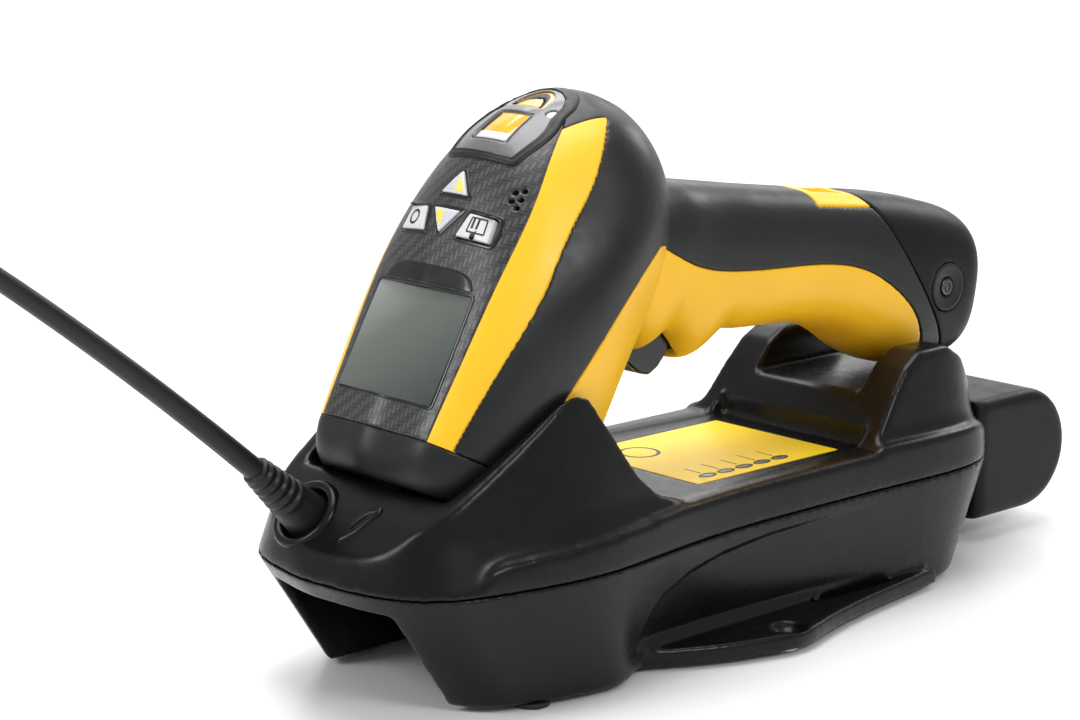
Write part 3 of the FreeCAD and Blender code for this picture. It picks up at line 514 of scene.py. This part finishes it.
def cradle_upper_weight(p):
    x0, x1 = LABEL[0][0] / MM - 1.5, LABEL[1][0] / MM + 1.5
    half = LABEL[1][1] / MM + 1.5
    on_label = (p[:, 0] > x0) & (p[:, 0] < x1) & (np.abs(p[:, 1]) < half) & (p[:, 2] < DECK_Z + 1)
    return np.where(on_label, 0.05, 1.0) * (0.12 + 0.88 * near(p[:, 2], PART_Z, 1.6))


def cradle_base_weight(p):
    return 0.12 + 0.88 * near(p[:, 2], PART_Z, 1.2)


def recess_side(p):
    """The swept recess in the base's flanks, behind the broad front legs."""
    x, y, z = p.T
    line_x = [-46, -40, -35.7, -30.7, -20.5, -5.9, 13.5, 40]
    line_z = [2, 6, 15, 21.5, 26, 28.7, 30.3, 31]
    line = np.interp(x, line_x, line_z)
    below = np.clip((line - z) / 1.4 + 0.5, 0, 1)
    below = below * below * (3 - 2 * below)
    front = np.clip((x + 47) / 6, 0, 1)
    fade = np.clip((60 - x) / 70, 0, 1)
    outer = np.clip((np.abs(y) - 31) / 3, 0, 1) * np.clip((z - 7.5) / 2, 0, 1)
    depth = RECESS_DEPTH * below * front * fade * outer
    q = p.copy()
    q[:, 1] -= np.sign(y) * depth
    return q


softened("cradle_upper", 0.7, 14, cradle_upper_weight, about=UP)
softened("cradle_base", 0.75, 6, cradle_base_weight, recess_side, about=UP)
softened("upper_housing", 0.4, 5)
softened("lower_housing", 0.45, 2)
softened("battery_cap", 0.45, 4)
softened("nose_bumper", 0.45, 2)
softened("top_panel", 0.35, 0)
softened("latch_button", 0.3, 1)
softened("trigger", 0.4, 14)
softened("spare_cap", 0.7, 8)
for key in ("up", "down", "left", "right"):
    softened("key_" + key, 0.22, 4)
softened("status_bezel", 0.3, 3)
for lens in ("square", "round"):
    softened("status_lens_" + lens, 0.25, 4)
softened("rubber_feet", 0.35, 3)

# ---------------------------------------------------------------- prints and rims on the head
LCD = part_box("display_lens")
LCD_HALF_Y = LCD[1][1] / MM
LCD_HALF_X = 15.0
SIGN_LIFT = 0.07                             # how far a printed sign stands over its key


def mirrored(points):
    return [(x, -y) for x, y in points]


def display_frame():
    """Smoked surround of the display, wider above the glass, and the bright inner edge of the window."""
    x0, x1, half = DISPLAY_X - LCD_HALF_X, DISPLAY_X + LCD_HALF_X, LCD_HALF_Y
    out = 0.9
    rim = [(x0 - out, -half - out), (x1 + out, -half - out), (x1 + out, half + out), (x0 - out, half + out)]
    band("display_rim", rounded(rim, 1.8), 0.9, 0.22, "gloss_black", "scanner")
    shade = [(x0 - 1.0, -half), (x0 - 1.0, half), (x0 - 5.2, half - 3.0), (x0 - 6.0, half - 8.0)]
    shade += [(x0 - 6.0, -half + 8.0), (x0 - 5.2, -half + 3.0)]
    pad("display_shade", rounded(shade, 2.0), 0.08, "gloss_black", "scanner", edge=0.15, inner=5)


def key_surrounds():
    """Black raised island behind each key."""
    ups = [(-35.2, 0), (-26.0, -6.9), (-26.0, 6.9)]
    downs = [(-14.6, 0), (-23.8, 6.9), (-23.8, -6.9)]
    band("key_island_up", rounded(ups, 1.6), 1.05, 0.28, "gloss_black", "scanner")
    band("key_island_down", rounded(downs, 1.6), 1.05, 0.28, "gloss_black", "scanner")
    side = [(-24.1, 7.3), (-24.1, 18.0), (-20.0, 19.4), (-14.7, 18.6), (-14.7, 5.0)]
    band("key_island_right", rounded(side, 1.6), 1.3, 0.28, "gloss_black", "scanner")
    band("key_island_left", rounded(mirrored(side), 1.6), 1.3, 0.28, "gloss_black", "scanner")


def key_top(name):
    tree = surface_of(["key_" + name])
    return lambda x, y, lift: on_head(x, y, lift, tree)


def key_fill(name, corners, mat, key, top):
    pad(name, rounded(corners, 0.3), SIGN_LIFT, mat, key, top, edge=0.05, sunk=0.1)


def key_prints():
    """Two-tone fills on the arrow keys and plain generic signs on the side keys."""
    up, down = key_top("up"), key_top("down")
    key_fill("up_fill_near", [(-32.2, 0.1), (-27.9, 3.6), (-27.9, 0.1)], "print_yellow", "key_up", up)
    key_fill("up_fill_far", [(-32.2, -0.1), (-27.9, -0.1), (-27.9, -3.6)], "print_lilac", "key_up", up)
    key_fill("down_fill_near", [(-17.6, 0.1), (-21.9, 0.1), (-21.9, 3.6)], "print_lilac", "key_down", down)
    key_fill("down_fill_far", [(-17.6, -0.1), (-21.9, -3.6), (-21.9, -0.1)], "print_yellow", "key_down", down)

    right = key_top("right")
    arrow = [(-15.8, 12.6), (-17.2, 10.9), (-18.6, 12.6)]
    bars = [[(-21.6, low), (-21.6, high), (-18.9, high), (-18.9, low)]
            for low, high in [(10.4 + 1.5 * k, 11.1 + 1.5 * k) for k in range(2)]]
    for k, shape in enumerate([arrow] + bars):
        pad("right_sign_%d" % k, shape, SIGN_LIFT, "print_black", "key_right", right,
            edge=0.05, sunk=0.1, inner=1)
    frame_corners = [(-22.1, 9.6), (-22.1, 14.9), (-17.6, 15.4), (-17.6, 9.2)]
    band("right_sign_frame", rounded(frame_corners, 0.6), 0.5, SIGN_LIFT, "print_black", "key_right", right,
         steps=4, sunk=0.1)

    ring = [(-19.4 + 2.2 * math.cos(a), 12.4 + 2.2 * math.sin(a))
            for a in [2 * math.pi * k / 28 for k in range(28)]]
    band("left_sign_ring", mirrored(ring), 0.75, SIGN_LIFT, "print_black", "key_left", key_top("left"),
         steps=4, sunk=0.1)


def bezel_outline(grow):
    """The light bezel's outline: a flat nose-side edge, bowed flanks and a round far end."""
    half = 13.6 + grow
    pts = [(-40.0 + grow, -0.86 * half), (-40.0 + grow, 0.86 * half)]
    pts += [(-44, 0.95 * half), (-48, half), (-52, 0.97 * half), (-56, 0.86 * half)]
    for k in range(1, 8):
        a = math.pi * k / 8
        pts.append((-56 - (10 + grow) * math.sin(a), 0.86 * half * math.cos(a)))
    pts += [(-56, -0.86 * half), (-52, -0.97 * half), (-48, -half), (-44, -0.95 * half)]
    return rounded(pts, 1.6, 3)


BEZEL_TOP = surface_of(["status_bezel", "upper_housing", "top_panel"]
                       + ["status_lens_square", "status_lens_round"])


def on_bezel(x, y, lift):
    return on_head(x, y, lift, BEZEL_TOP)


def light_group():
    band("bezel_rubber_rim", bezel_outline(2.0), 2.3, 0.75, "black_rubber", "scanner", on_bezel, sunk=0.6)
    square = [(-44.3, -6.8), (-44.3, 6.8), (-54.9, 6.3), (-54.9, -6.3)]
    rim = rounded([(x, y * 1.06) for x, y in square], 1.2)
    band("square_lens_rim", rim, 0.55, 0.35, "bezel_silver", "scanner", on_bezel)
    white = [(-44.8, -6.2), (-44.8, 6.2), (-47.2, 6.1), (-47.2, -6.1)]
    pad("light_label", rounded(white, 0.5), 0.1, "key_white", "scanner", on_bezel, edge=0.08)
    slot = [(-47.2, -6.3), (-47.2, -5.2), (-53.9, -4.7), (-53.9, -6.0)]
    pad("light_slot", rounded(slot, 0.4), 0.09, "print_black", "scanner", on_bezel, edge=0.06)
    arc = [(-57.6, -5.2)]
    arc += [(-57.6 - 6.0 * math.sin(a), -5.2 * math.cos(a)) for a in [math.pi * k / 14 for k in range(1, 14)]]
    arc += [(-57.6, 5.2)]
    arc += [(-57.9 - 4.7 * math.sin(a), 4.6 * math.cos(a)) for a in [math.pi * k / 14 for k in range(1, 14)]]
    pad("round_slot", arc, 0.09, "print_black", "scanner", on_bezel, edge=0.05, inner=0)
    # The search line goes through the lamps' holes, so these two domes stand on the back of the head.
    dome = [(2.3, -0.5), (2.3, 0.15), (2.0, 0.55), (1.5, 0.8), (1.4, 0.62), (0.7, 0.78), (0.1, 0.82)]
    for side, name in ((1, "near"), (-1, "far")):
        at = on_bezel(-56.6, side * 9.8, 0.0)
        lathe("indicator_" + name, dome, at, OUTWARD, "clear_lens", "scanner", 48)


display_frame()
key_surrounds()
key_prints()
light_group()


# ---------------------------------------------------------------- cap discs, antenna, cradle trim
def cap_disc(side):
    """Dished disc and its screw on one flank of the battery cap."""
    centre = grip_point(120.5, side * 19.0, -1.0)
    out = SIDE * side
    name = "near" if side > 0 else "far"
    dish = [(7.2, -2.2), (7.25, 0.35), (7.0, 0.62), (6.5, 0.68), (5.6, 0.42), (4.4, 0.2), (3.4, 0.12)]
    dish += [(3.15, -0.1), (3.1, -0.5), (0.1, -0.5)]
    disc = lathe("cap_disc_" + name, dish, centre, out, "black_rubber", "battery", 96)
    if side > 0:
        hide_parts("cap_discs")
    head = [(2.55, -0.6), (2.6, 0.05), (2.35, 0.28), (1.9, 0.34), (1.45, 0.34), (1.4, 0.25)]
    head += [(1.32, -0.45), (0.1, -0.5)]
    screw = lathe("cap_screw_" + name, head, centre, out, "dark_steel", "battery", 96,
                  lambda a, r: 1 + (0.11 * math.cos(6 * a) if r < 1.46 else 0))
    if side > 0:
        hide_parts("cap_screws")


ANTENNA_AT = Vector((-103.0, 13.0, 43.5)) * MM
ANTENNA_RISE = 43.0
ANTENNA_LEAN = 3                             # the whip lies this much flatter, in degrees, from half to half
BOOT_GROOVES = 5


def slant(degrees):
    """Forward over the cradle's rim and up, at an angle to the table."""
    a = math.radians(degrees)
    return Vector((-math.cos(a), 0, math.sin(a)))


def antenna():
    """Collar, rubber boot with bending grooves, and a tapered whip that leans forward along its length."""
    up = slant(ANTENNA_RISE)
    profile = [(6.9, -6.0), (7.3, -2.0), (7.55, -0.5), (7.5, 0.6), (7.1, 1.4), (6.75, 3.0), (6.1, 8.0)]
    profile.append((5.55, 12.5))
    for k in range(BOOT_GROOVES):
        t, r = 14.0 + 2.7 * k, 5.35 - 0.3 * k
        profile += [(r, t), (r + 0.12, t + 0.5), (r + 0.05, t + 1.3), (r - 0.5, t + 1.7), (r - 0.5, t + 2.2)]
    profile += [(3.95, 27.8), (3.5, 28.4), (0.1, 28.5)]
    ring = [(7.2, 4.2), (10.4, 4.2), (10.3, 6.6), (9.8, 7.5), (8.9, 7.9), (8.0, 7.6), (7.4, 6.8), (7.2, 4.2)]
    lathe("antenna_collar", ring, ANTENNA_AT, up, "cradle_black", "cradle", 72)
    boot = lathe("antenna_boot_moulded", profile, ANTENNA_AT, up, "antenna_black", "cradle", 72)
    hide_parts("antenna_boot")
    start = ANTENNA_AT + up * 26 * MM
    middle = ANTENNA_AT + up * 28 * MM + slant(ANTENNA_RISE - ANTENNA_LEAN) * 56 * MM
    end = middle + slant(ANTENNA_RISE - 2 * ANTENNA_LEAN) * 55.4 * MM

    def path(f):
        bow = middle * 2 - (start + end) * 0.5
        return start * (1 - f) ** 2 + bow * 2 * f * (1 - f) + end * f * f

    def radius(f):
        tip = max(0.0, (f - 0.985) / 0.015)
        return (3.0 - 0.55 * f) * math.sqrt(max(0.02, 1 - tip * tip))

    whip = tube("antenna_whip_moulded", path, radius, 120, "antenna_black", "cradle")
    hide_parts("antenna_whip")


CRADLE_TOP = surface_of(["cradle_upper"])


def on_cradle(x, y, lift):
    hit = CRADLE_TOP.ray_cast(Vector((x * MM, y * MM, 0.15)), -UP)
    z = hit[0].z if hit[0] is not None else DECK_Z * MM
    return Vector((x * MM, y * MM, z + lift * MM))


def on_deck(x, y, lift):
    return Vector((x, y, DECK_Z + lift)) * MM


LIGHT_X, LIGHT_PITCH, LIGHT_Y = 9.0, 7.4, -19.4     # the first of the five lights, and their row


def deck_prints():
    """Windows of the five lights, thin pointer lines and a ring: plain generic marks."""
    for k in range(5):
        x = LIGHT_X + LIGHT_PITCH * k
        pill = [(x + 3.3 * math.cos(a) * (0.6 + 0.4 * abs(math.cos(a))), LIGHT_Y + 1.9 * math.sin(a))
                for a in [2 * math.pi * s / 32 for s in range(32)]]
        band("light_frame_%d" % k, pill, 0.75, 0.12, "print_black", "cradle", on_deck, steps=5, sunk=0.2)
        face = [(x + (px - x) * 0.78, LIGHT_Y + (py - LIGHT_Y) * 0.66) for px, py in pill]
        pad("light_face_%d" % k, face, 0.06, "bezel_silver", "cradle", on_deck, edge=0.1, sunk=0.2)
        end = -10.2 + 0.6 * (k % 2)
        line = [(x - 0.25, -16.6), (x + 0.25, -16.6), (x + 0.25, end), (x - 0.25, end)]
        pad("pointer_%d" % k, line, 0.03, "print_black", "cradle", on_deck, edge=0.03, sunk=0.1, inner=0)
    turn = [2 * math.pi * s / 48 for s in range(48)]
    ring = [(13 + 6.2 * math.cos(a), 12.0 + 6.2 * math.sin(a)) for a in turn]
    band("deck_ring", ring, 1.1, 0.05, "print_black", "cradle", on_deck, steps=4, sunk=0.1)


def chevron():
    """Crescent boss beside the antenna."""
    leaf = [(-112.0, -4.6), (-108.5, -9.4), (-103.5, -12.6), (-101.5, -11.6), (-103.5, -7.6), (-107.5, -4.6)]
    band("chevron_boss", rounded(leaf, 1.6), 1.7, 0.9, "cradle_black", "cradle", on_cradle, sunk=0.6)


cap_disc(1)
cap_disc(-1)
antenna()
deck_prints()
chevron()

# ---------------------------------------------------------------- floor, light and camera
TARGET = Vector((-14.5, 24.5, 73.4)) * MM
CAMERA_AT = Vector((-520.3, -527.5, 236.6)) * MM


def make_floor():
    """A pale sweep that turns up into a wall behind the object, square to the camera."""
    mesh = bpy.data.meshes.new("floor")
    floor = bpy.data.objects.new("floor", mesh)
    bpy.context.collection.objects.link(floor)
    half, back, high, radius = 4.0, 1.6, 3.0, 0.8
    away = (TARGET - CAMERA_AT)
    away.z = 0
    away.normalize()
    side = Vector((-away.y, away.x, 0))
    rows = [(-3.0, 0.0), (back - radius, 0.0)]
    rows += [(back - radius + radius * math.sin(a), radius - radius * math.cos(a))
             for a in [math.pi / 2 * k / 12 for k in range(1, 13)]]
    rows.append((back, high))
    bm = bmesh.new()
    pairs = []
    for along, up in rows:
        spot = away * along + Vector((0, 0, up))
        pairs.append((bm.verts.new(spot - side * half), bm.verts.new(spot + side * half)))
    for (a, b), (c, d) in zip(pairs, pairs[1:]):
        bm.faces.new((a, b, d, c))
    bm.normal_update()
    bm.to_mesh(mesh)
    bm.free()
    for poly in mesh.polygons:
        poly.use_smooth = True
    n = Nodes("studio_floor")
    tone = n.ramp(n.noise(3.0), [(0.3, (0.90, 0.90, 0.90)), (0.7, (0.93, 0.93, 0.93))])
    n.link(tone, n.bsdf.inputs["Base Color"])
    n.bsdf.inputs["Roughness"].default_value = 0.28
    mesh.materials.append(n.mat)


def area_light(name, at, size, power, aim=(0, 0, 0.07)):
    data = bpy.data.lights.new(name, "AREA")
    data.shape = "RECTANGLE"
    data.size = size
    data.size_y = size
    data.energy = power
    lamp = bpy.data.objects.new(name, data)
    lamp.location = at
    lamp.rotation_euler = (Vector(aim) - Vector(at)).to_track_quat("-Z", "Y").to_euler()
    bpy.context.collection.objects.link(lamp)


def make_camera():
    data = bpy.data.cameras.new("camera")
    data.sensor_width = 36.0
    data.lens = 90.0
    cam = bpy.data.objects.new("camera", data)
    cam.location = CAMERA_AT
    cam.rotation_euler = (TARGET - CAMERA_AT).to_track_quat("-Z", "Y").to_euler()
    bpy.context.collection.objects.link(cam)
    bpy.context.scene.camera = cam


make_floor()
make_camera()
area_light("top_softbox", (0.05, 0.1, 0.9), 0.6, 6.0)
area_light("left_softbox", (-0.9, 0.3, 0.6), 0.35, 4.0)
area_light("front_softbox", (-0.1, -1.0, 0.8), 0.35, 4.5)
area_light("rear_strip", (0.8, 0.1, 0.5), 0.25, 0.9)
area_light("wall_wash", (1.0, 1.1, 1.6), 1.2, 24.0, aim=(1.4, 1.5, 0.4))
world = bpy.data.worlds.new("studio")
world.use_nodes = True
world.node_tree.nodes["Background"].inputs["Color"].default_value = (1, 1, 1, 1)
world.node_tree.nodes["Background"].inputs["Strength"].default_value = 0.5
bpy.context.scene.world = world
bpy.context.scene.view_settings.view_transform = "Standard"
